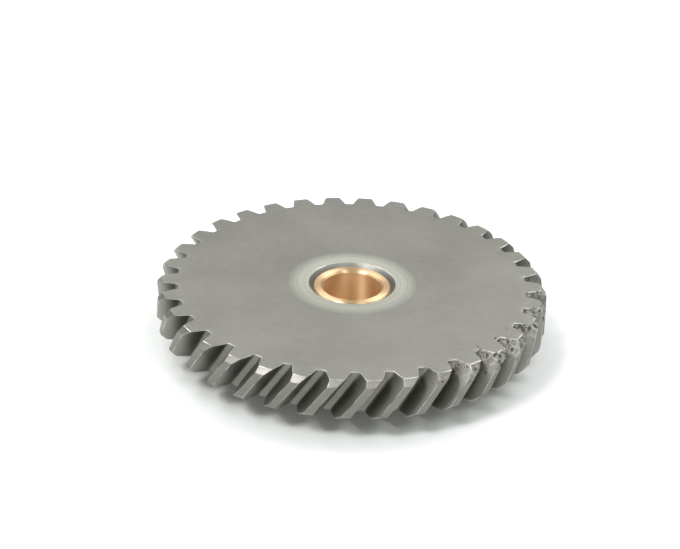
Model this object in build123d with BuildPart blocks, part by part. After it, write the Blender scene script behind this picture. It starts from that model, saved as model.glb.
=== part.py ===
"""Single helical gear, right hand, with a plain bronze bush pressed into its hub.

The gear stands on the end of its hub, with +Z up the bore. The origin is on the bore's axis in the
plane of the hub's end face, and one tooth is centred on +X at the upper face.
"""

import os
from math import acos, atan, cos, pi, radians, sin, tan

from build123d import *

# ---- Driving dimensions, in millimetres and degrees -------------------------------------------------

# Teeth: a standard rack, tilted by the helix angle
TOOTH_COUNT = 34
NORMAL_MODULE = 2.0
NORMAL_PRESSURE_ANGLE = 20.0
HELIX_ANGLE = 34.0
ADDENDUM_IN_MODULES = 1.0
DEDENDUM_IN_MODULES = 1.25
ROOT_BEVEL_IN_MODULES = 0.225

# Disc that carries the teeth
FACE_WIDTH = 9.4
RIM_CHAMFER = 1.25

# Hub, on the lower side only
HUB_DIAMETER = 28.0
HUB_HEIGHT = 4.6
HUB_CHAMFER = 0.8
HUB_ROOT_FILLET = 1.2

# Bush, and the bevel at each mouth of the seat it is pressed into
BUSH_BORE = 13.0
BUSH_WALL = 2.0
BUSH_RECESS = 0.5
BUSH_INNER_CHAMFER = 0.5
BUSH_OUTER_CHAMFER = 0.35
SEAT_CHAMFER = 1.15

# ---- Sizes that follow ------------------------------------------------------------------------------

transverse_module = NORMAL_MODULE / cos(radians(HELIX_ANGLE))
transverse_pressure = atan(tan(radians(NORMAL_PRESSURE_ANGLE)) / cos(radians(HELIX_ANGLE)))
pitch_radius = TOOTH_COUNT * transverse_module / 2
base_radius = pitch_radius * cos(transverse_pressure)
tip_radius = pitch_radius + ADDENDUM_IN_MODULES * NORMAL_MODULE
root_radius = pitch_radius - DEDENDUM_IN_MODULES * NORMAL_MODULE
root_bevel = ROOT_BEVEL_IN_MODULES * NORMAL_MODULE
helix_lead = 2 * pi * pitch_radius / tan(radians(HELIX_ANGLE))

web_bottom = HUB_HEIGHT
web_top = HUB_HEIGHT + FACE_WIDTH
bush_radius = BUSH_BORE / 2 + BUSH_WALL
bush_length = web_top - 2 * BUSH_RECESS

# The cutter runs half a module past the tips and past both faces of the disc.
cutter_overrun = NORMAL_MODULE / 2
cut_start = web_bottom - cutter_overrun
cut_length = FACE_WIDTH + 2 * cutter_overrun

# A gap lies half a pitch from the tooth on +X at the upper face, and turns with the helix below it.
cut_start_turn = 180 / TOOTH_COUNT - 360 * (web_top - cut_start) / helix_lead


def involute(pressure_angle):
    """Involute function of an angle in radians."""
    return tan(pressure_angle) - pressure_angle


def half_gap_angle(radius):
    """Half of the angle in radians that the gap between two teeth spans at a radius."""
    pressure = acos(min(1, base_radius / radius))
    half_tooth = pi / (2 * TOOTH_COUNT) + involute(transverse_pressure) - involute(pressure)
    return pi / TOOTH_COUNT - half_tooth


def gap_point(radius, angle):
    """Point of a gap that is centred on +X, in the plane square to the bore."""
    return (radius * cos(angle), radius * sin(angle))


def flank_points(side, point_count=6):
    """Points up one involute flank, from the root bevel to past the tips; side is 1 or -1."""
    foot = root_radius + root_bevel
    rise = tip_radius + cutter_overrun - foot
    radii = [foot + rise * i / (point_count - 1) for i in range(point_count)]
    return [gap_point(radius, side * half_gap_angle(radius)) for radius in radii]


def root_end(side):
    """End of the root's own arc, where the bevel up to the flank begins; side is 1 or -1."""
    return gap_point(root_radius, side * (half_gap_angle(root_radius) - root_bevel / root_radius))


# ---- Path of the cutter through one gap between two teeth -------------------------------------------

with BuildPart() as tooth_gap:
    with BuildSketch(Plane.XY.offset(cut_start).rotated((0, 0, cut_start_turn))):
        with BuildLine():
            right_flank = Spline(*flank_points(-1))
            left_flank = Spline(*flank_points(1))
            Line(right_flank @ 0, root_end(-1))
            RadiusArc(root_end(-1), root_end(1), -root_radius)
            Line(root_end(1), left_flank @ 0)
            Line(right_flank @ 1, left_flank @ 1)
        make_face()
    with BuildLine() as gear_axis:
        Line((0, 0, cut_start), (0, 0, cut_start + cut_length))
    with BuildLine() as pitch_helix:
        Helix(helix_lead, cut_length, pitch_radius, center=(0, 0, cut_start))
    sweep(path=gear_axis.wire(), binormal=pitch_helix.wire())

# ---- Gear wheel: disc, hub and teeth in one piece of steel ------------------------------------------

with BuildPart() as gear_wheel:
    with BuildSketch(Plane.XY.offset(web_bottom)):
        Circle(tip_radius)
    extrude(amount=FACE_WIDTH)
    chamfer(gear_wheel.edges(), RIM_CHAMFER)

    with BuildSketch(Plane.XY):
        Circle(HUB_DIAMETER / 2)
    extrude(amount=HUB_HEIGHT)
    chamfer(gear_wheel.edges().group_by(Axis.Z)[0], HUB_CHAMFER)
    web_edges = gear_wheel.edges().filter_by_position(Axis.Z, web_bottom, web_bottom)
    fillet(web_edges.sort_by(SortBy.LENGTH)[0], HUB_ROOT_FILLET)

    # The seat goes right through, with a bevel at each mouth to start the bush.
    with BuildSketch(Plane.XY):
        Circle(bush_radius)
    extrude(amount=web_top, mode=Mode.SUBTRACT)
    seat = gear_wheel.faces().filter_by(GeomType.CYLINDER).sort_by(SortBy.RADIUS)[0]
    chamfer(seat.edges().filter_by(GeomType.CIRCLE), SEAT_CHAMFER)

    with PolarLocations(0, TOOTH_COUNT):
        add(tooth_gap.part, mode=Mode.SUBTRACT)

# ---- Bush: a plain bronze tube, set just inside both ends of its seat -------------------------------

with BuildPart() as bush:
    with BuildSketch(Plane.XY.offset(BUSH_RECESS)):
        Circle(bush_radius)
        Circle(BUSH_BORE / 2, mode=Mode.SUBTRACT)
    extrude(amount=bush_length)
    inner_rims, outer_rims = bush.edges().filter_by(GeomType.CIRCLE).group_by(SortBy.RADIUS)
    chamfer(inner_rims, BUSH_INNER_CHAMFER)
    chamfer(outer_rims, BUSH_OUTER_CHAMFER)

# ---- Output -----------------------------------------------------------------------------------------

os.makedirs("parts", exist_ok=True)

gear_wheel.part.label = "gear_wheel"
export_step(gear_wheel.part, "parts/gear_wheel.step")

bush.part.label = "bush"
export_step(bush.part, "parts/bush.step")
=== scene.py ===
"""A single helical gear of turned steel with worn and pitted teeth, and the bronze bush in its hub.

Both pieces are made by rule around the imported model. Geometry Nodes bend one grid into a toothed
sector, repeat it round the wheel and bite the pits out of its worn side, and turn the bush on a lathe.
"""

from math import atan, cos, pi, radians, sin, tan

import bpy
from mathutils import Matrix, Vector


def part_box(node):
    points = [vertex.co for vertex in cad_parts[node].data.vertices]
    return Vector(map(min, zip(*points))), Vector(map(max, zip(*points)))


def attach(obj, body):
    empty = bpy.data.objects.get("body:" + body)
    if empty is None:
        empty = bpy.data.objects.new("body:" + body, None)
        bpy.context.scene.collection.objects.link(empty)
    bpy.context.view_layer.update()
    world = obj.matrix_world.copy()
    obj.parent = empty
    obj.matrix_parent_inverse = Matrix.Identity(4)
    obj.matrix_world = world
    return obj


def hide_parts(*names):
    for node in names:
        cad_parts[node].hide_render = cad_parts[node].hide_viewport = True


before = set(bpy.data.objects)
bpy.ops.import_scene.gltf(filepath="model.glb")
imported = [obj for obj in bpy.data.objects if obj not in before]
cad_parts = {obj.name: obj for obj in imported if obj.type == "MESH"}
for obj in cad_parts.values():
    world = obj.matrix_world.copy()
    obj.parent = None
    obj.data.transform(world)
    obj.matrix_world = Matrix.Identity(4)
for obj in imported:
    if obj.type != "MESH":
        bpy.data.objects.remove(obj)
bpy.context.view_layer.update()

MM = 0.001

# ---- Sizes: model.glb gives the outer ones, and a standard rack gives the teeth ---------------------

wheel_low, wheel_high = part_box("gear_wheel")
bush_low, bush_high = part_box("bush")
TOP = wheel_high.z
TIP_RADIUS = (wheel_high.x - wheel_low.x) / 2
BUSH_RADIUS = (bush_high.x - bush_low.x) / 2

TOOTH_COUNT = 34
NORMAL_MODULE = 2.0 * MM
DEDENDUM = 1.25 * NORMAL_MODULE
TOOTH_DEPTH = NORMAL_MODULE + DEDENDUM
NORMAL_PRESSURE = radians(20.0)
HELIX = radians(34.0)
PITCH_RADIUS = TOOTH_COUNT * NORMAL_MODULE / (2 * cos(HELIX))
TRANSVERSE_PRESSURE = atan(tan(NORMAL_PRESSURE) / cos(HELIX))
BASE_RADIUS = PITCH_RADIUS * cos(TRANSVERSE_PRESSURE)
ROOT_RADIUS = PITCH_RADIUS - DEDENDUM
TWIST = tan(HELIX) / PITCH_RADIUS

FACE_WIDTH = 9.4 * MM
WEB_BOTTOM = TOP - FACE_WIDTH
RIM_CHAMFER = 1.25 * MM
HUB_RADIUS = 14.0 * MM
HUB_CHAMFER = 0.8 * MM
HUB_ROOT = 1.2 * MM
SEAT_CHAMFER = 1.15 * MM
MOUTH_RADIUS = BUSH_RADIUS + SEAT_CHAMFER
BUSH_BORE_RADIUS = 6.5 * MM
BUSH_INNER_CHAMFER = 0.5 * MM
BUSH_OUTER_CHAMFER = 0.35 * MM
TURNED_RING_RADIUS = 13.8 * MM

# How far sharp edges are broken: at the tooth ends and tips, and at the turned corners.
EDGE_BREAK = 0.1 * MM
SOFT_EDGE = 0.07 * MM

# Points nearer than this are one point.
WELD = 0.001 * MM

# ---- Fields: values of a node tree that add up like numbers -----------------------------------------


class Field:
    """An output of a node tree. Sums written with it add the Math nodes that work them out."""

    def __init__(self, tree, socket):
        self.tree = tree
        self.socket = socket

    def math(self, operation, *others):
        node = self.tree.nodes.new("ShaderNodeMath")
        node.operation = operation
        for socket, value in zip(node.inputs, (self, *others)):
            fill(self.tree, socket, value)
        return Field(self.tree, node.outputs[0])

    def __add__(self, other):
        return self.math("ADD", other)

    def __sub__(self, other):
        return self.math("SUBTRACT", other)

    def __mul__(self, other):
        return self.math("MULTIPLY", other)

    def __truediv__(self, other):
        return self.math("DIVIDE", other)

    def __rsub__(self, other):
        return self * -1.0 + other

    def __rtruediv__(self, other):
        return self.math("POWER", -1.0) * other

    def __pow__(self, other):
        return self.math("POWER", other)

    __radd__ = __add__
    __rmul__ = __mul__

    def share(self, low, high):
        """0 at low, 1 at high, in proportion between them and level beyond them."""
        ends = {"Value": self, "From Min": low, "From Max": high}
        return add_node(self.tree, "ShaderNodeMapRange", ends)


def fill(tree, socket, value):
    """Links a field to a socket, or sets the socket's own value."""
    if isinstance(value, Field):
        tree.links.new(value.socket, socket)
    else:
        socket.default_value = value


def add_node(tree, kind, inputs=None, output=0, **settings):
    """Adds a node, sets its properties, fills its inputs and returns one of its outputs."""
    node = tree.nodes.new(kind)
    for name, value in settings.items():
        setattr(node, name, value)
    for key, value in (inputs or {}).items():
        fill(tree, node.inputs[key], value)
    return Field(tree, node.outputs[output]) if len(node.outputs) else None


def parts_of(tree, vector):
    """The X, Y and Z of a vector as three fields."""
    split = tree.nodes.new("ShaderNodeSeparateXYZ")
    fill(tree, split.inputs[0], vector)
    return [Field(tree, socket) for socket in split.outputs]


def distance_from_axis(x, y):
    """How far a place is from the bore's axis."""
    return (x * x + y * y).math("SQRT")


# ---- Geometry trees ---------------------------------------------------------------------------------


def new_geometry_tree(name, inputs):
    """An empty geometry tree with named inputs, as (tree, its inputs as fields)."""
    tree = bpy.data.node_groups.new(name, "GeometryNodeTree")
    tree.interface.new_socket("Geometry", in_out="OUTPUT", socket_type="NodeSocketGeometry")
    for socket_name, socket_type in inputs.items():
        tree.interface.new_socket(socket_name, in_out="INPUT", socket_type=socket_type)
    source = tree.nodes.new("NodeGroupInput")
    return tree, {socket.name: Field(tree, socket) for socket in source.outputs if socket.name}


def end_tree(tree, geometry, material=None):
    """Realizes what the tree has made and hands it out, in one material where one is given."""
    geometry = add_node(tree, "GeometryNodeRealizeInstances", {"Geometry": geometry})
    if material:
        geometry = painted(tree, geometry, material)
    add_node(tree, "NodeGroupOutput", {"Geometry": geometry})
    return tree


def painted(tree, geometry, material):
    """The same geometry in one material."""
    return add_node(tree, "GeometryNodeSetMaterial", {"Geometry": geometry, "Material": material})


def welded(tree, geometry):
    """The same geometry with its meeting points made one."""
    return add_node(tree, "GeometryNodeMergeByDistance", {"Geometry": geometry, "Distance": WELD})


def run_tree(name, tree, values, mesh=None):
    """Runs a tree on an object, with its inputs set by name, and returns the plain mesh that comes out."""
    carrier = bpy.data.objects.new(name, mesh or bpy.data.meshes.new(name))
    bpy.context.scene.collection.objects.link(carrier)
    modifier = carrier.modifiers.new(name, "NODES")
    modifier.node_group = tree
    for item in tree.interface.items_tree:
        if item.in_out == "INPUT" and item.name in values:
            modifier[item.identifier] = values[item.name]
    carrier.update_tag()
    depsgraph = bpy.context.evaluated_depsgraph_get()
    result = bpy.data.meshes.new_from_object(carrier.evaluated_get(depsgraph), depsgraph=depsgraph)
    bpy.data.objects.remove(carrier)
    result.name = name
    return result


def section_value(tree, section, row, field, data_type="FLOAT"):
    """What a field says on one row of a section."""
    inputs = {"Geometry": section, "Value": field, "Index": row}
    return add_node(tree, "GeometryNodeSampleIndex", inputs, data_type=data_type)


def section_mark(tree, section, row, name):
    """A mark that a section carries on one row, by its name."""
    mark = add_node(tree, "GeometryNodeInputNamedAttribute", {"Name": name}, data_type="FLOAT")
    return section_value(tree, section, row, mark)


def section_row(tree, section, row):
    """Radius, edge inset and height of one row of a section."""
    here = add_node(tree, "GeometryNodeInputPosition")
    return parts_of(tree, section_value(tree, section, row, here, "FLOAT_VECTOR"))


def read_section(tree, given):
    """The section that a tree was given, as geometry."""
    inputs = {"Object": given["Section"]}
    return add_node(tree, "GeometryNodeObjectInfo", inputs, output="Geometry")


def grid_places(tree, columns, rows):
    """A grid, and the column and row of each of its points."""
    grid = add_node(tree, "GeometryNodeMeshGrid", {"Vertices X": columns, "Vertices Y": rows})
    index = add_node(tree, "GeometryNodeInputIndex")
    just_over = 0.0001
    column = (index / rows + just_over).math("FLOOR")
    row = index - column * rows
    return grid, column, row


def placed_round(tree, grid, radius, angle, height):
    """A grid with its points moved to a radius, an angle and a height round the bore's axis."""
    place = add_node(
        tree,
        "ShaderNodeCombineXYZ",
        {"X": radius * angle.math("COSINE"), "Y": radius * angle.math("SINE"), "Z": height},
    )
    return add_node(tree, "GeometryNodeSetPosition", {"Geometry": grid, "Position": place})


def store(tree, geometry, name, value):
    """Keeps a field on the points under a name that the materials read."""
    inputs = {"Geometry": geometry, "Name": name, "Value": value}
    return add_node(
        tree, "GeometryNodeStoreNamedAttribute", inputs, data_type="FLOAT", domain="POINT"
    )


# ---- Sections: what a lathe would turn --------------------------------------------------------------
# A row is (radius, height, inset, edge): the inset is how far a broken edge draws the teeth in there,
# and the edge is 1 on the rows that round a corner and 0 elsewhere.

ROWS_APART = 0.9 * MM
EDGE_STEPS = 3


def bend(before, corner, after, reach, steps):
    """Rows round one corner of a section, from reach before it to reach after it."""
    corner = Vector(corner)
    start = corner + (Vector(before) - corner).normalized() * reach
    end = corner + (Vector(after) - corner).normalized() * reach
    rows = []
    for step in range(steps + 1):
        share = step / steps
        place = start.lerp(corner, share).lerp(corner.lerp(end, share), share)
        rows.append((place.x, place.y, 0.0, 1.0 if 0 < step < steps else 0.0))
    return rows


def turned(corners):
    """Rows of a turned outline; a corner is (radius, height, reach of its rounding, steps round it)."""
    rows = []
    for before, corner, after in zip(corners, corners[1:], corners[2:]):
        rows += bend(before[:2], corner[:2], after[:2], corner[2], corner[3])
    return rows


def outline_corner(height, up):
    """Rows round the edge where the rim meets a face, from the rim to the face; up is 1 or -1."""
    rows = []
    for step in range(EDGE_STEPS + 1):
        turn = step / EDGE_STEPS * pi / 2
        drop = EDGE_BREAK * (1 - sin(turn))
        inset = EDGE_BREAK * (1 - cos(turn))
        edge = 1.0 if 0 < step < EDGE_STEPS else 0.0
        rows.append((TIP_RADIUS - RIM_CHAMFER + drop, height - up * drop, inset, edge))
    return rows


def along(rows, spacing):
    """The same rows with more between them where they are further apart than spacing."""
    finer = [rows[0]]
    for row in rows[1:]:
        last = finer[-1]
        gap = (Vector(row[:2]) - Vector(last[:2])).length
        count = max(1, round(gap / spacing))
        for i in range(1, count):
            share = i / count
            between = [a + (b - a) * share for a, b in zip(last[:3], row[:3])]
            finer.append((*between, 0.0))
        finer.append(row)
    return finer


def wheel_section():
    """Rows of the wheel's section in three parts: hub, toothed walls and upper face."""
    inside_teeth = ROOT_RADIUS - RIM_CHAMFER
    hub = turned([
        (BUSH_RADIUS, TOP / 2, 0, 0),
        (BUSH_RADIUS, SEAT_CHAMFER, SOFT_EDGE, 2),
        (MOUTH_RADIUS, 0, SOFT_EDGE, 3),
        (HUB_RADIUS - HUB_CHAMFER, 0, SOFT_EDGE, 3),
        (HUB_RADIUS, HUB_CHAMFER, SOFT_EDGE, 3),
        (HUB_RADIUS, WEB_BOTTOM, HUB_ROOT, 6),
        (inside_teeth, WEB_BOTTOM, SOFT_EDGE, 1),
        (TIP_RADIUS, WEB_BOTTOM, 0, 0),
    ])
    lower_edge = outline_corner(WEB_BOTTOM, -1)[::-1]
    rim = turned([
        lower_edge[-1],
        (TIP_RADIUS, WEB_BOTTOM + RIM_CHAMFER, SOFT_EDGE, 3),
        (TIP_RADIUS, TOP - RIM_CHAMFER, SOFT_EDGE, 3),
        (TIP_RADIUS - RIM_CHAMFER, TOP, 0, 0),
    ])
    upper_edge = outline_corner(TOP, 1)
    face = turned([
        (TIP_RADIUS, TOP, 0, 0),
        (inside_teeth, TOP, SOFT_EDGE, 1),
        (TURNED_RING_RADIUS, TOP, SOFT_EDGE, 1),
        (MOUTH_RADIUS, TOP, SOFT_EDGE, 3),
        (BUSH_RADIUS, TOP - SEAT_CHAMFER, SOFT_EDGE, 2),
        (BUSH_RADIUS, TOP / 2, 0, 0),
    ])
    walls = lower_edge[1:] + along(rim, ROWS_APART) + upper_edge[:-1]
    return hub + lower_edge[:1], walls, upper_edge[-1:] + face


def bush_section():
    """Rows of the bush's section, from the middle of its outside round to the start."""
    bottom, top = bush_low.z, bush_high.z
    middle = (bottom + top) / 2
    bore = BUSH_BORE_RADIUS
    return turned([
        (BUSH_RADIUS, middle, 0, 0),
        (BUSH_RADIUS, top - BUSH_OUTER_CHAMFER, SOFT_EDGE, 3),
        (BUSH_RADIUS - BUSH_OUTER_CHAMFER, top, SOFT_EDGE, 3),
        (bore + BUSH_INNER_CHAMFER, top, SOFT_EDGE, 3),
        (bore, top - BUSH_INNER_CHAMFER, SOFT_EDGE, 3),
        (bore, bottom + BUSH_INNER_CHAMFER, SOFT_EDGE, 3),
        (bore + BUSH_INNER_CHAMFER, bottom, SOFT_EDGE, 3),
        (BUSH_RADIUS - BUSH_OUTER_CHAMFER, bottom, SOFT_EDGE, 3),
        (BUSH_RADIUS, bottom + BUSH_OUTER_CHAMFER, SOFT_EDGE, 3),
        (BUSH_RADIUS, middle, 0, 0),
    ])[::-1]


def section_object(name, parts):
    """A section as points that a tree reads, with its walls and edges marked; parts are (rows, wall)."""
    marked = [(row, wall) for rows, wall in parts for row in rows]
    marked.append(marked[0])
    mesh = bpy.data.meshes.new(name)
    mesh.from_pydata([(radius, inset, height) for (radius, height, inset, edge), wall in marked], [], [])
    edges = mesh.attributes.new("edge", "FLOAT", "POINT")
    edges.data.foreach_set("value", [row[3] for row, wall in marked])
    walls = mesh.attributes.new("wall", "FLOAT", "POINT")
    walls.data.foreach_set("value", [wall for row, wall in marked])
    section = bpy.data.objects.new(name, mesh)
    bpy.context.scene.collection.objects.link(section)
    return section


# ---- Wheel: one toothed sector, repeated ------------------------------------------------------------

ROOT_LAND_COLUMNS = 2
FILLET_COLUMNS = 4
FLANK_COLUMNS = 6
CORNER_COLUMNS = 3
TIP_LAND_COLUMNS = 2
OUTLINE_COLUMNS = (ROOT_LAND_COLUMNS, FILLET_COLUMNS, FLANK_COLUMNS, CORNER_COLUMNS, TIP_LAND_COLUMNS)
HALF_COLUMNS = sum(OUTLINE_COLUMNS)
FILLET_REACH = 0.45 * MM

# An inset from which a row lies wholly on a broken edge.
FULL_EDGE_INSET = EDGE_BREAK / 20.0


def involute(pressure):
    """Involute function of an angle in radians."""
    return pressure.math("TANGENT") - pressure


def shares_of_outline(station):
    """How far a column has come along the root land, fillet, flank, tip corner and tip land."""
    shares = []
    start = 0
    for count in OUTLINE_COLUMNS:
        shares.append(station.share(start, start + count))
        start += count
    return shares


def tooth_radius(given, tip, root, shares):
    """Radius of the tooth's outline at each column."""
    _, along_fillet, along_flank, along_corner, _ = shares
    fillet, corner = given["Root Fillet"], given["Tip Rounding"]
    corner_left = 1.0 - along_corner
    return (
        root
        + fillet * along_fillet * along_fillet
        + (tip - corner - root - fillet) * along_flank
        + corner * (1.0 - corner_left * corner_left)
    )


def tooth_angle(given, tip, root, inset, radius, shares):
    """Angle from the tooth's middle to its outline, from the involute of the base circle."""
    along_root, along_fillet, _, along_corner, along_tip = shares
    half_pitch = pi / given["Teeth"]
    base = given["Base Radius"]
    at_base = half_pitch * 0.5 + involute(given["Transverse Pressure Angle"]) - inset / base

    def half_tooth(at_radius):
        return at_base - involute((base / at_radius).math("MINIMUM", 1.0).math("ARCCOSINE"))

    fillet_left = 1.0 - along_fillet
    fillet_angle = given["Root Fillet"] / root
    corner_angle = given["Tip Rounding"] / tip
    flank_angle = (
        half_tooth(radius)
        + fillet_angle * fillet_left * fillet_left
        - corner_angle * along_corner * along_corner
    )
    land_angle = half_pitch - half_tooth(root) - fillet_angle
    return flank_angle * (1.0 - along_tip) + land_angle * (1.0 - along_root)


def marked_sector(tree, given, sector, row_edge, wall, inset, radius, along_corner):
    """The sector with its worn edges and the depth of its gaps kept on its points."""
    corner_edge = along_corner * (1.0 - along_corner) * 4.0 * wall
    all_round = (inset / FULL_EDGE_INSET).math("MINIMUM", 1.0).math("MAXIMUM", 1.0 - wall)
    row_edge = row_edge * all_round.math("MAXIMUM", along_corner)
    sector = store(tree, sector, "edge", row_edge.math("MAXIMUM", corner_edge))
    depth = (given["Root Radius"] + TOOTH_DEPTH - radius) / TOOTH_DEPTH
    return store(tree, sector, "gap_depth", depth.share(0.0, 1.0) * wall)


def sector_of_teeth(tree, given):
    """A grid bent round one tooth, from gap to gap and along the helix."""
    section = read_section(tree, given)
    grid, column, row = grid_places(tree, 2 * HALF_COLUMNS + 1, given["Section Rows"])
    turned_radius, inset, height = section_row(tree, section, row)
    row_edge = section_mark(tree, section, row, "edge")
    wall = section_mark(tree, section, row, "wall")
    side = (column - HALF_COLUMNS).math("SIGN")
    station = HALF_COLUMNS - (column - HALF_COLUMNS).math("ABSOLUTE")
    shares = shares_of_outline(station)
    along_corner = shares[3]

    # The inset draws the whole outline in at a broken edge.
    root = given["Root Radius"] - inset
    tip = turned_radius.math("MAXIMUM", root + given["Root Fillet"] + given["Tip Rounding"]) - inset
    outline_radius = tooth_radius(given, tip, root, shares)
    outline_angle = tooth_angle(given, tip, root, inset, outline_radius, shares)

    # Inside the teeth the rows are plain circles.
    toothed = turned_radius.math("GREATER_THAN", given["Root Radius"])
    plain_angle = pi / given["Teeth"] * (1.0 - station / HALF_COLUMNS)
    radius = turned_radius + (outline_radius - turned_radius) * toothed
    angle = plain_angle + (outline_angle - plain_angle) * toothed
    turn = angle * side + (height - given["Top"]) * given["Twist"]
    sector = placed_round(tree, grid, radius, turn, height)
    return marked_sector(tree, given, sector, row_edge, wall, inset, radius, along_corner)


def toothed_wheel_tree():
    """Bends a grid round one tooth and repeats it round the wheel."""
    tree, given = new_geometry_tree(
        "toothed wheel",
        {
            "Section": "NodeSocketObject",
            "Section Rows": "NodeSocketInt",
            "Teeth": "NodeSocketInt",
            "Root Radius": "NodeSocketFloat",
            "Base Radius": "NodeSocketFloat",
            "Transverse Pressure Angle": "NodeSocketFloat",
            "Twist": "NodeSocketFloat",
            "Top": "NodeSocketFloat",
            "Root Fillet": "NodeSocketFloat",
            "Tip Rounding": "NodeSocketFloat",
            "Material": "NodeSocketMaterial",
        },
    )
    sector = sector_of_teeth(tree, given)
    places = add_node(tree, "GeometryNodePoints", {"Count": given["Teeth"]})
    turn = add_node(tree, "GeometryNodeInputIndex") * (2 * pi / given["Teeth"])
    spin = add_node(tree, "ShaderNodeCombineXYZ", {"Z": turn})
    wheel = add_node(
        tree,
        "GeometryNodeInstanceOnPoints",
        {"Points": places, "Instance": sector, "Rotation": spin},
    )
    wheel = add_node(tree, "GeometryNodeRealizeInstances", {"Geometry": wheel})
    return end_tree(tree, welded(tree, wheel), given["Material"])


def without_empty_materials(mesh):
    """The same mesh with no empty material in its list."""
    for index in reversed(range(len(mesh.materials))):
        if mesh.materials[index] is None:
            mesh.materials.pop(index=index)
    return mesh


def make_wheel(material):
    """The steel wheel, before its wear."""
    hub, rim, face = wheel_section()
    section = section_object("wheel section", [(hub, 0.0), (rim, 1.0), (face, 0.0)])
    values = {
        "Section": section,
        "Section Rows": len(section.data.vertices),
        "Teeth": TOOTH_COUNT,
        "Root Radius": ROOT_RADIUS,
        "Base Radius": BASE_RADIUS,
        "Transverse Pressure Angle": TRANSVERSE_PRESSURE,
        "Twist": TWIST,
        "Top": TOP,
        "Root Fillet": FILLET_REACH,
        "Tip Rounding": EDGE_BREAK,
        "Material": material,
    }
    mesh = run_tree("steel_wheel", toothed_wheel_tree(), values)
    bpy.data.objects.remove(section)
    return without_empty_materials(mesh)


# ---- Wear: pits bitten out of the teeth on one side -------------------------------------------------

WORN_MIDDLE = radians(-27.0)
WORN_HALF_WIDTH = radians(46.0)
PITS_PER_SQUARE_METRE = 2.2e6
PIT_SHAPES = 5
SMALLEST_PIT = 0.09 * MM
LARGEST_PIT = 0.44 * MM
PIT_SEED = 7

# Pits are thickest just under the upper face, and on the face itself they keep to the ends of the gaps.
PITS_THICKEST_BELOW_TOP = 0.5 * MM
PITS_END_BELOW_TOP = 6.0 * MM
PITTED_BAND_INSIDE_ROOT = (-1.2 * MM, -0.1 * MM)
PITTED_BAND_OUTSIDE_ROOT = (0.6 * MM, 1.2 * MM)
FACE_PITS_SHARE = 0.1

# A surface is level where its normal's Z is over this.
LEVEL_NORMAL = 0.9

# A pit's shape: how knobbly it is, how coarse its knobs are, and its length and depth against its width.
PIT_SWELL = 1.5
PIT_KNOBS = 1.1
PIT_LENGTH = 1.3
PIT_DEPTH = 0.7


def rough_lump(tree, seed):
    """A closed lump of about unit radius, knobbly in its own way for each seed."""
    ball = add_node(tree, "GeometryNodeMeshIcoSphere", {"Radius": 1.0, "Subdivisions": 2})
    place = add_node(tree, "GeometryNodeInputPosition")
    knobs = add_node(
        tree,
        "ShaderNodeTexNoise",
        {"Vector": place, "W": 3.7 * seed, "Scale": PIT_KNOBS, "Detail": 2.0},
        noise_dimensions="4D",
    )
    outwards = add_node(tree, "GeometryNodeInputNormal")
    swell = {0: outwards, "Scale": (knobs - 0.5) * PIT_SWELL}
    offset = add_node(tree, "ShaderNodeVectorMath", swell, operation="SCALE")
    return add_node(tree, "GeometryNodeSetPosition", {"Geometry": ball, "Offset": offset})


def random_share(tree, seed):
    """A random value from 0 to 1 for each point."""
    settings = {2: 0.0, 3: 1.0, "Seed": seed}
    return add_node(tree, "FunctionNodeRandomValue", settings, output=1, data_type="FLOAT")


def pit_chance(tree, given, normal):
    """How likely a pit is at a point, by how worn that part is, from 0 to 1."""
    x, y, z = parts_of(tree, add_node(tree, "GeometryNodeInputPosition"))
    away = (y.math("ARCTAN2", x) - given["Worn Middle"]).math("ABSOLUTE")
    near = 1.0 - (away / given["Worn Half Width"]).math("MINIMUM", 1.0)
    high = (given["Top"] - z).share(PITS_END_BELOW_TOP, PITS_THICKEST_BELOW_TOP)
    outside_root = distance_from_axis(x, y) - given["Root Radius"]
    outer = outside_root.share(*PITTED_BAND_INSIDE_ROOT)
    gap_end = outer * (1.0 - outside_root.share(*PITTED_BAND_OUTSIDE_ROOT))
    on_face = parts_of(tree, normal)[2].math("GREATER_THAN", LEVEL_NORMAL)
    return near * high * high * (outer + (gap_end * FACE_PITS_SHARE - outer) * on_face)


def pit_lumps(tree, given):
    """Rough lumps of random sizes, sunk in the surface wherever a pit is to be."""
    scatter = tree.nodes.new("GeometryNodeDistributePointsOnFaces")
    fill(tree, scatter.inputs["Mesh"], given["Wheel"])
    fill(tree, scatter.inputs["Density"], given["Pits Per Area"])
    fill(tree, scatter.inputs["Seed"], given["Seed"])
    chance = pit_chance(tree, given, Field(tree, scatter.outputs["Normal"]))
    chosen = random_share(tree, given["Seed"] + 2).math("LESS_THAN", chance)
    shapes = tree.nodes.new("GeometryNodeGeometryToInstance")
    for seed in range(PIT_SHAPES):
        tree.links.new(rough_lump(tree, seed).socket, shapes.inputs[0])
    spread = given["Largest"] - given["Smallest"]
    size = given["Smallest"] + spread * random_share(tree, given["Seed"] + 1) ** 3.0
    sides = {"X": size, "Y": size * PIT_LENGTH, "Z": size * PIT_DEPTH}
    return add_node(
        tree,
        "GeometryNodeInstanceOnPoints",
        {
            "Points": Field(tree, scatter.outputs["Points"]),
            "Selection": chosen,
            "Instance": Field(tree, shapes.outputs[0]),
            "Pick Instance": True,
            "Rotation": Field(tree, scatter.outputs["Rotation"]),
            "Scale": add_node(tree, "ShaderNodeCombineXYZ", sides),
        },
    )


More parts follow.
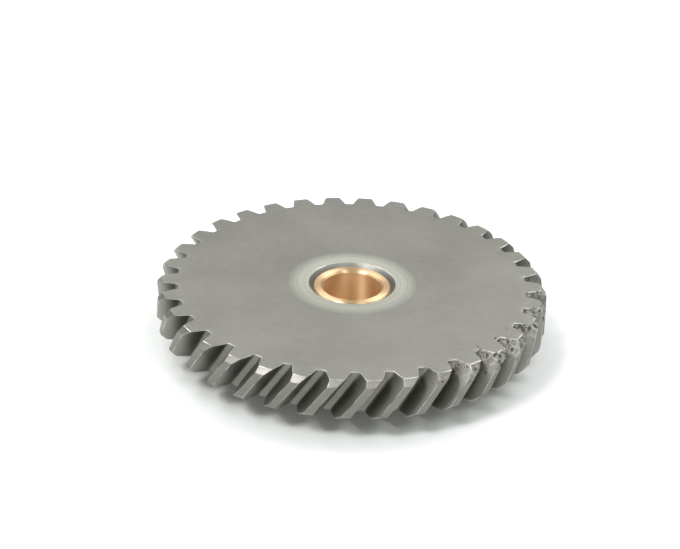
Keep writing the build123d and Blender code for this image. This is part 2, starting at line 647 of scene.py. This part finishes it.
def pitting_tree():
    """Scatters rough lumps over the worn side of the rim and cuts them out of the wheel."""
    tree, given = new_geometry_tree(
        "tooth pitting",
        {
            "Wheel": "NodeSocketGeometry",
            "Worn Middle": "NodeSocketFloat",
            "Worn Half Width": "NodeSocketFloat",
            "Top": "NodeSocketFloat",
            "Root Radius": "NodeSocketFloat",
            "Pits Per Area": "NodeSocketFloat",
            "Smallest": "NodeSocketFloat",
            "Largest": "NodeSocketFloat",
            "Seed": "NodeSocketInt",
            "Material": "NodeSocketMaterial",
        },
    )
    lumps = painted(tree, pit_lumps(tree, given), given["Material"])
    cut = tree.nodes.new("GeometryNodeMeshBoolean")
    cut.operation = "DIFFERENCE"
    cut.solver = "MANIFOLD"
    fill(tree, cut.inputs["Mesh 1"], given["Wheel"])
    fill(tree, cut.inputs["Mesh 2"], lumps)
    return end_tree(tree, Field(tree, cut.outputs["Mesh"]))


def pit_teeth(mesh, material):
    """The wheel with the pits bitten out of its worn teeth."""
    values = {
        "Worn Middle": WORN_MIDDLE,
        "Worn Half Width": WORN_HALF_WIDTH,
        "Top": TOP,
        "Root Radius": ROOT_RADIUS,
        "Pits Per Area": PITS_PER_SQUARE_METRE,
        "Smallest": SMALLEST_PIT,
        "Largest": LARGEST_PIT,
        "Seed": PIT_SEED,
        "Material": material,
    }
    return run_tree("steel_wheel", pitting_tree(), values, mesh)


# ---- Bush: a plain tube turned from a section -------------------------------------------------------

BUSH_COLUMNS = 144


def turned_tree():
    """Turns a section once round the axis."""
    tree, given = new_geometry_tree(
        "turned piece",
        {
            "Section": "NodeSocketObject",
            "Section Rows": "NodeSocketInt",
            "Columns": "NodeSocketInt",
            "Material": "NodeSocketMaterial",
        },
    )
    section = read_section(tree, given)
    grid, column, row = grid_places(tree, given["Columns"] + 1, given["Section Rows"])
    radius, _, height = section_row(tree, section, row)
    turn = column * (2 * pi) / given["Columns"]
    piece = placed_round(tree, grid, radius, turn, height)
    piece = store(tree, piece, "edge", section_mark(tree, section, row, "edge"))
    return end_tree(tree, welded(tree, piece), given["Material"])


def make_bush(material):
    """The bronze bush."""
    section = section_object("bush section", [(bush_section(), 0.0)])
    values = {
        "Section": section,
        "Section Rows": len(section.data.vertices),
        "Columns": BUSH_COLUMNS,
        "Material": material,
    }
    mesh = run_tree("bronze_bush", turned_tree(), values)
    bpy.data.objects.remove(section)
    return mesh


# ---- Finishes: the parts that materials share -------------------------------------------------------


def new_material(name):
    """A material with an empty Principled surface, as (material, tree, surface node)."""
    material = bpy.data.materials.new(name)
    material.use_nodes = True
    tree = material.node_tree
    return material, tree, tree.nodes["Principled BSDF"]


def object_place(tree):
    """Object coordinates as a vector, the radius from the bore's axis, the height and the angle."""
    place = add_node(tree, "ShaderNodeTexCoord", output="Object")
    x, y, z = parts_of(tree, place)
    return place, distance_from_axis(x, y), z, y.math("ARCTAN2", x)


def attribute(tree, name):
    """A value that the geometry tree kept on the piece."""
    return add_node(tree, "ShaderNodeAttribute", output="Fac", attribute_name=name)


def mixed(tree, share, first, second):
    """A colour between two, by share."""
    inputs = {0: share, 6: first, 7: second}
    return add_node(tree, "ShaderNodeMix", inputs, output=2, data_type="RGBA")


def noise(tree, place, scale, detail=3.0, roughness=0.55):
    """A noise from 0 to 1 whose lumps are about 1 / scale metres across."""
    inputs = {"Vector": place, "Scale": scale, "Detail": detail, "Roughness": roughness}
    return add_node(tree, "ShaderNodeTexNoise", inputs)


def bumped(tree, height, strength):
    """A normal dented by a height in metres."""
    inputs = {"Height": height, "Strength": strength, "Distance": 1.0}
    return add_node(tree, "ShaderNodeBump", inputs)


def new_group(name, inputs, outputs):
    """An empty shader group with named sockets, as (group, its inputs, function that ends it)."""
    group = bpy.data.node_groups.new(name, "ShaderNodeTree")
    for socket_name, socket_type in outputs.items():
        group.interface.new_socket(socket_name, in_out="OUTPUT", socket_type=socket_type)
    for socket_name, socket_type in inputs.items():
        group.interface.new_socket(socket_name, in_out="INPUT", socket_type=socket_type)
    source = group.nodes.new("NodeGroupInput")
    given = {socket.name: Field(group, socket) for socket in source.outputs if socket.name}

    def end(values):
        add_node(group, "NodeGroupOutput", values)
        return group

    return group, given, end


def placed_group(tree, group, inputs):
    """Places a group in a material and returns all its outputs by name."""
    node = tree.nodes.new("ShaderNodeGroup")
    node.node_tree = group
    for name, value in inputs.items():
        fill(tree, node.inputs[name], value)
    return {socket.name: Field(tree, socket) for socket in node.outputs}


def grain_group():
    """Fine metal grain: a value round 0.5 that roughens, and a height that dimples."""
    inputs = {"Place": "NodeSocketVector", "Size": "NodeSocketFloat"}
    outputs = {"Value": "NodeSocketFloat", "Height": "NodeSocketFloat"}
    group, given, end = new_group("metal grain", inputs, outputs)
    scale = 1.0 / given["Size"]
    coarse = noise(group, given["Place"], scale * 0.4, 2.0)
    fine = noise(group, given["Place"], scale, 3.0, 0.7)
    return end({"Value": coarse * 0.4 + fine * 0.6, "Height": (fine - 0.5) * given["Size"]})


def lathe_group():
    """Marks of a lathe tool: rings at a spacing along a radius or a height, fading in and out."""
    inputs = {"Place": "NodeSocketVector", "Along": "NodeSocketFloat", "Spacing": "NodeSocketFloat"}
    outputs = {"Value": "NodeSocketFloat", "Height": "NodeSocketFloat"}
    group, given, end = new_group("lathe marks", inputs, outputs)
    steps = {"W": given["Along"] / given["Spacing"], "Scale": 1.0, "Detail": 3.0}
    rings = add_node(group, "ShaderNodeTexNoise", steps, noise_dimensions="1D")
    fade = noise(group, given["Place"], 160.0, 2.0).share(0.35, 0.6)
    value = 0.5 + (rings - 0.5) * (0.5 + fade * 0.5)
    return end({"Value": value, "Height": (value - 0.5) * given["Spacing"]})


def edge_wear_group():
    """Rubbed edges: where an edge runs and the rubbing is not patchy, from 0 to 1."""
    inputs = {"Place": "NodeSocketVector", "Edge": "NodeSocketFloat", "Rubbing": "NodeSocketFloat"}
    group, given, end = new_group("edge wear", inputs, {"Mask": "NodeSocketFloat"})
    patches = noise(group, given["Place"], 420.0, 3.0)
    limit = 0.62 - given["Rubbing"] * 0.3
    worn = (patches - limit).share(-0.08, 0.1)
    return end({"Mask": given["Edge"].share(0.1, 0.7) * worn})


def mottling_group():
    """Broad and small patches from a dark colour to a light one."""
    inputs = {
        "Place": "NodeSocketVector",
        "Patch Size": "NodeSocketFloat",
        "Contrast": "NodeSocketFloat",
        "Dark": "NodeSocketColor",
        "Light": "NodeSocketColor",
    }
    group, given, end = new_group("mottling", inputs, {"Color": "NodeSocketColor"})
    scale = 1.0 / given["Patch Size"]
    broad = noise(group, given["Place"], scale, 2.0)
    small = noise(group, given["Place"], scale * 7.0, 4.0, 0.65)
    share = (broad - 0.5) * given["Contrast"] + (small - 0.5) * given["Contrast"] * 0.6 + 0.5
    return end({"Color": mixed(group, share.share(0.0, 1.0), given["Dark"], given["Light"])})


GRAIN = grain_group()
LATHE = lathe_group()
EDGE_WEAR = edge_wear_group()
MOTTLING = mottling_group()


def grained(tree, place, size):
    """Grain of a size, as its value and height by name."""
    return placed_group(tree, GRAIN, {"Place": place, "Size": size})


def lathe_marks(tree, place, across, spacing):
    """Marks of a lathe tool at a spacing, as their value and height by name."""
    return placed_group(tree, LATHE, {"Place": place, "Along": across, "Spacing": spacing})


def rubbed_edges(tree, place, rubbing):
    """Where the piece's edges are rubbed bright, from 0 to 1."""
    inputs = {"Place": place, "Edge": attribute(tree, "edge"), "Rubbing": rubbing}
    return placed_group(tree, EDGE_WEAR, inputs)["Mask"]


def mottled(tree, place, patch_size, contrast, dark, light):
    """A colour that goes in patches from dark to light."""
    inputs = {"Place": place, "Patch Size": patch_size, "Contrast": contrast, "Dark": dark, "Light": light}
    return placed_group(tree, MOTTLING, inputs)["Color"]


# ---- Finishes: steel, broken steel and bronze -------------------------------------------------------

STEEL_DARK = (0.285, 0.278, 0.252, 1.0)
STEEL_LIGHT = (0.365, 0.355, 0.322, 1.0)
STEEL_TURNED = (0.74, 0.73, 0.64, 1.0)
STEEL_BRIGHT = (0.80, 0.79, 0.76, 1.0)
# Dark steel for the painted shade in the gaps and the seat mouth, the seam dirt and the darker tip lands.
STEEL_SHADE_AND_DIRT = (0.085, 0.08, 0.072, 1.0)
STEEL_CHAFED = (0.60, 0.59, 0.55, 1.0)
PIT_DARK = (0.08, 0.07, 0.062, 1.0)
PIT_LIGHT = (0.24, 0.22, 0.19, 1.0)
BRONZE_DARK = (0.80, 0.53, 0.29, 1.0)
BRONZE_LIGHT = (0.90, 0.64, 0.38, 1.0)
BRONZE_BRIGHT = (1.0, 0.86, 0.64, 1.0)

# How dark the painted shade, the seam dirt and the tip lands are made, and how strong the other finishes
# are, from 0 to 1.
MOUTH_SEAM_AND_SHADE = 0.36
GAP_PAINTED_SHADE = 0.72
ROOT_LAND_PAINTED_SHADE = GAP_PAINTED_SHADE - 0.5
TIP_LAND_DARKENING = 0.45
RING_LIGHT = 0.85
CHAFING = 0.6
STEEL_RUBBING = 0.8
BRONZE_RUBBING = 0.6

# Sizes and places of the patches, grain and marks.
STEEL_PATCHES = 16.0 * MM
STEEL_GRAIN = 0.35 * MM
FACE_TOOL_STEP = 0.22 * MM
TOP_SKIN = (-0.02 * MM, -0.005 * MM)
RING_FADE = (-2.4 * MM, 0.6 * MM)
CHAFED_BELOW_TOP = (-6.0 * MM, -1.0 * MM)
CHAFED_INSIDE_ROOT = 1.5 * MM
CHAFED_SPECKS_PER_METRE = 900.0
PIT_PATCHES = 0.8 * MM
PIT_GRAIN = 0.15 * MM
BRONZE_PATCHES = 4.0 * MM
BRONZE_GRAIN = 0.25 * MM
BORE_TOOL_STEP = 0.1 * MM


def soiled_and_shaded_steel(tree, colour, radius):
    """The colour with painted shade in the gaps and the seat mouth, dirt in the seam and darker tip lands,
    and the depth of the gaps.
    """
    # Painted shade in the seat mouth round the bush, with some dirt in the seam itself.
    mouth = 1.0 - radius.share(BUSH_RADIUS + SEAT_CHAMFER * 0.5, MOUTH_RADIUS)
    colour = mixed(tree, mouth * MOUTH_SEAM_AND_SHADE, colour, STEEL_SHADE_AND_DIRT)
    # Painted shade down the gaps between the teeth, strongest on the flanks and lighter on the root land.
    gap = attribute(tree, "gap_depth")
    root_land = gap.share(0.86, 0.9)
    gap_shade = gap.share(0.1, 0.7) * (GAP_PAINTED_SHADE - root_land * (GAP_PAINTED_SHADE - ROOT_LAND_PAINTED_SHADE))
    colour = mixed(tree, gap_shade, colour, STEEL_SHADE_AND_DIRT)
    # The tip lands are made darker.
    tip_land = radius.share(TIP_RADIUS - 0.15 * MM, TIP_RADIUS - 0.03 * MM)
    return mixed(tree, tip_land * TIP_LAND_DARKENING, colour, STEEL_SHADE_AND_DIRT), gap


def chafed_steel(tree, place, radius, height, angle, on_top):
    """Where the worn side is chafed between its pits, from 0 to 1."""
    away = (angle - WORN_MIDDLE).math("ABSOLUTE") / WORN_HALF_WIDTH
    worn_side = 1.0 - away.math("MINIMUM", 1.0)
    high = (height - TOP).share(*CHAFED_BELOW_TOP)
    rim = radius.share(ROOT_RADIUS - CHAFED_INSIDE_ROOT, ROOT_RADIUS)
    specks = noise(tree, place, CHAFED_SPECKS_PER_METRE, 4.0, 0.7).share(0.45, 0.62)
    return worn_side.share(0.1, 0.5) * high * rim * (1.0 - on_top * 0.85) * specks


def steel_material():
    """Turned steel: mottled, with a lighter ring round the bore, painted shade in the gaps and rubbed
    edges.
    """
    material, tree, surface = new_material("turned steel")
    place, radius, height, angle = object_place(tree)
    grain = grained(tree, place, STEEL_GRAIN)
    marks = lathe_marks(tree, place, radius, FACE_TOOL_STEP)
    colour = mottled(tree, place, STEEL_PATCHES, 1.5, STEEL_DARK, STEEL_LIGHT)

    # The tool last touched a ring round the bore, and left it lighter and scored.
    on_top = (height - TOP).share(*TOP_SKIN)
    ring = (1.0 - (radius - TURNED_RING_RADIUS).share(*RING_FADE)) * on_top
    ring_share = ring * marks["Value"].share(0.15, 0.6)
    colour = mixed(tree, ring_share * RING_LIGHT, colour, STEEL_TURNED)

    colour, gap = soiled_and_shaded_steel(tree, colour, radius)
    chafed = chafed_steel(tree, place, radius, height, angle, on_top)
    colour = mixed(tree, chafed * CHAFING, colour, STEEL_CHAFED)
    rubbed = rubbed_edges(tree, place, 0.5)
    colour = mixed(tree, rubbed * STEEL_RUBBING, colour, STEEL_BRIGHT)

    fill(tree, surface.inputs["Base Color"], colour)
    roughness = 0.36 + grain["Value"] * 0.16 + gap * 0.1 - ring * 0.06 - rubbed * 0.1
    fill(tree, surface.inputs["Roughness"], roughness)
    surface.inputs["Metallic"].default_value = 1.0
    relief = grain["Height"] * 0.12 + marks["Height"] * (ring * 0.10 + on_top * 0.012)
    fill(tree, surface.inputs["Normal"], bumped(tree, relief + chafed * grain["Height"] * 0.6, 1.0))
    return material


def pit_material():
    """Broken steel inside the pits: dark, dull and a little brown."""
    material, tree, surface = new_material("pitted steel")
    place = object_place(tree)[0]
    grain = grained(tree, place, PIT_GRAIN)
    colour = mottled(tree, place, PIT_PATCHES, 1.8, PIT_DARK, PIT_LIGHT)
    fill(tree, surface.inputs["Base Color"], colour)
    fill(tree, surface.inputs["Roughness"], 0.55 + grain["Value"] * 0.25)
    surface.inputs["Metallic"].default_value = 0.6
    fill(tree, surface.inputs["Normal"], bumped(tree, grain["Height"], 0.8))
    return material


def bronze_material():
    """Bored bronze: fine rings down the bore, and rubbed rims."""
    material, tree, surface = new_material("bush bronze")
    place, radius, height, _ = object_place(tree)
    grain = grained(tree, place, BRONZE_GRAIN)
    marks = lathe_marks(tree, place, height, BORE_TOOL_STEP)
    colour = mottled(tree, place, BRONZE_PATCHES, 1.3, BRONZE_DARK, BRONZE_LIGHT)
    colour = mixed(tree, rubbed_edges(tree, place, 1.0) * BRONZE_RUBBING, colour, BRONZE_BRIGHT)
    fill(tree, surface.inputs["Base Color"], colour)
    bore = 1.0 - radius.share(BUSH_BORE_RADIUS + 0.02 * MM, BUSH_BORE_RADIUS + 0.05 * MM)
    fill(tree, surface.inputs["Roughness"], 0.38 + grain["Value"] * 0.08 + bore * 0.1)
    surface.inputs["Metallic"].default_value = 1.0

    # The tool's fine rings draw each highlight out into a stripe across them.
    surface.inputs["Anisotropic"].default_value = 0.9
    surface.inputs["Anisotropic Rotation"].default_value = 0.25
    round_axis = add_node(tree, "ShaderNodeTangent", direction_type="RADIAL", axis="Z")
    fill(tree, surface.inputs["Tangent"], round_axis)
    relief = marks["Height"] * bore * 0.15 + grain["Height"] * 0.015
    fill(tree, surface.inputs["Normal"], bumped(tree, relief, 1.0))
    return material


# ---- Pieces -----------------------------------------------------------------------------------------

SHARP_ANGLE = radians(38.0)


def sharpen_between_materials(mesh):
    """Keeps the rim of each pit crisp."""
    finish_of_edge = {}
    for face in mesh.polygons:
        for key in face.edge_keys:
            finish_of_edge.setdefault(key, set()).add(face.material_index)
    for edge in mesh.edges:
        if len(finish_of_edge[edge.key]) > 1:
            edge.use_edge_sharp = True


def with_flat_faces(piece):
    """A mesh of the piece whose large faces shade flat, with its sharp edges kept."""
    flatten = piece.modifiers.new("flat faces", "WEIGHTED_NORMAL")
    flatten.keep_sharp = True
    depsgraph = bpy.context.evaluated_depsgraph_get()
    shaded = bpy.data.meshes.new_from_object(piece.evaluated_get(depsgraph), depsgraph=depsgraph)
    piece.modifiers.clear()
    return shaded


def finish_piece(name, mesh, node):
    """Shades a mesh and puts it in the scene as a piece on the root body, in the place of a node."""
    mesh.shade_smooth()
    mesh.set_sharp_from_angle(angle=SHARP_ANGLE)
    sharpen_between_materials(mesh)
    piece = bpy.data.objects.new(name, mesh)
    bpy.context.scene.collection.objects.link(piece)
    piece.data = with_flat_faces(piece)
    bpy.data.meshes.remove(mesh)
    piece.data.name = name
    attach(piece, "root")
    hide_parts(node)


def make_pieces():
    """The worn steel wheel and its bush."""
    wheel = pit_teeth(make_wheel(steel_material()), pit_material())
    finish_piece("steel_wheel", wheel, "gear_wheel")
    finish_piece("bronze_bush", make_bush(bronze_material()), "bush")


# ---- Floor, light and camera ------------------------------------------------------------------------
# Azimuths and elevations are in degrees; azimuth 0 is +X, and a lamp's is counted from the camera's.

FACE_CENTRE = Vector((0.0, 0.0, TOP))
CAMERA_AZIMUTH = 267.717
CAMERA_ELEVATION = 28.69
CAMERA_DISTANCE = 0.5214
CAMERA_LENS = 125.0
SENSOR_WIDTH = 36.0
CAMERA_ROLL = 2.47
CAMERA_PAN = 0.295
CAMERA_TILT = 0.199
LAMP_DISTANCE = 1.2
FLOOR_REACH = 3.0
FLOOR_WHITE = (0.93, 0.94, 0.93, 1.0)
ROOM_TINT = (0.90, 1.0, 0.95, 1.0)
ROOM_STRENGTH = 0.2


def towards(azimuth, elevation):
    """The direction at an azimuth and an elevation."""
    level = cos(radians(elevation))
    return Vector((
        level * cos(radians(azimuth)),
        level * sin(radians(azimuth)),
        sin(radians(elevation)),
    ))


def looking_in(azimuth, elevation):
    """Rotation of a lamp or camera that stands in that direction and looks back at the centre."""
    turn = Matrix.Rotation(radians(azimuth - 270.0), 4, "Z")
    return turn @ Matrix.Rotation(radians(90.0 - elevation), 4, "X")


def make_camera():
    """The camera, a little off level and aimed a little beside the bore."""
    camera = bpy.data.objects.new("camera", bpy.data.cameras.new("camera"))
    camera.data.lens = CAMERA_LENS
    camera.data.sensor_width = SENSOR_WIDTH
    camera.data.clip_start = 10.0 * MM
    place = FACE_CENTRE + towards(CAMERA_AZIMUTH, CAMERA_ELEVATION) * CAMERA_DISTANCE
    aim = looking_in(CAMERA_AZIMUTH, CAMERA_ELEVATION)
    for axis, angle in (("Z", CAMERA_ROLL), ("Y", CAMERA_PAN), ("X", CAMERA_TILT)):
        aim = aim @ Matrix.Rotation(radians(angle), 4, axis)
    camera.matrix_world = Matrix.Translation(place) @ aim
    bpy.context.scene.collection.objects.link(camera)
    bpy.context.scene.camera = camera


def make_lamp(name, side, elevation, width, height, watts):
    """A soft rectangular lamp that shines on the wheel from a side of the camera."""
    azimuth = CAMERA_AZIMUTH + side
    light = bpy.data.lights.new(name, "AREA")
    light.shape = "RECTANGLE"
    light.size = width
    light.size_y = height
    light.energy = watts
    lamp = bpy.data.objects.new(name, light)
    place = FACE_CENTRE + towards(azimuth, elevation) * LAMP_DISTANCE
    lamp.matrix_world = Matrix.Translation(place) @ looking_in(azimuth, elevation)
    bpy.context.scene.collection.objects.link(lamp)


def make_lamps():
    """Lamps behind for the faces that look up, and at the sides and in front for the teeth and the bore."""
    make_lamp("left back lamp", side=-140.0, elevation=50.0, width=0.6, height=0.6, watts=4.6)
    make_lamp("right back lamp", side=140.0, elevation=50.0, width=0.6, height=0.6, watts=6.4)
    make_lamp("low back lamp", side=180.0, elevation=30.0, width=1.6, height=0.4, watts=1.4)
    make_lamp("top lamp", side=0.0, elevation=72.0, width=1.2, height=0.35, watts=1.2)
    make_lamp("left side lamp", side=-100.0, elevation=50.0, width=0.6, height=0.5, watts=1.6)
    make_lamp("right side lamp", side=100.0, elevation=50.0, width=0.6, height=0.5, watts=1.4)
    make_lamp("left lamp", side=-52.0, elevation=54.0, width=0.3, height=0.4, watts=6.8)
    make_lamp("right lamp", side=38.0, elevation=50.0, width=0.14, height=0.4, watts=2.0)
    make_lamp("low front lamp", side=0.0, elevation=20.0, width=1.6, height=0.4, watts=2.4)


def make_floor():
    """A plain pale floor."""
    mesh = bpy.data.meshes.new("floor")
    corners = [(-1, -1), (1, -1), (1, 1), (-1, 1)]
    mesh.from_pydata([(x * FLOOR_REACH, y * FLOOR_REACH, 0.0) for x, y in corners], [], [(0, 1, 2, 3)])
    floor = bpy.data.objects.new("floor", mesh)
    material, _, surface = new_material("floor white")
    surface.inputs["Base Color"].default_value = FLOOR_WHITE
    surface.inputs["Roughness"].default_value = 0.9
    mesh.materials.append(material)
    bpy.context.scene.collection.objects.link(floor)


def make_world():
    """Pale light from all round, faintly green, and bright only where the camera looks into it."""
    world = bpy.data.worlds.new("pale room")
    world.use_nodes = True
    tree = world.node_tree
    background = tree.nodes["Background"]
    background.inputs["Color"].default_value = ROOM_TINT
    seen = add_node(tree, "ShaderNodeLightPath", output="Is Camera Ray")
    fill(tree, background.inputs["Strength"], seen * (1.0 - ROOM_STRENGTH) + ROOM_STRENGTH)
    bpy.context.scene.world = world


def make_stage():
    """Everything round the part."""
    make_camera()
    make_floor()
    make_world()
    make_lamps()
    bpy.context.scene.view_settings.view_transform = "Standard"


make_pieces()
make_stage()
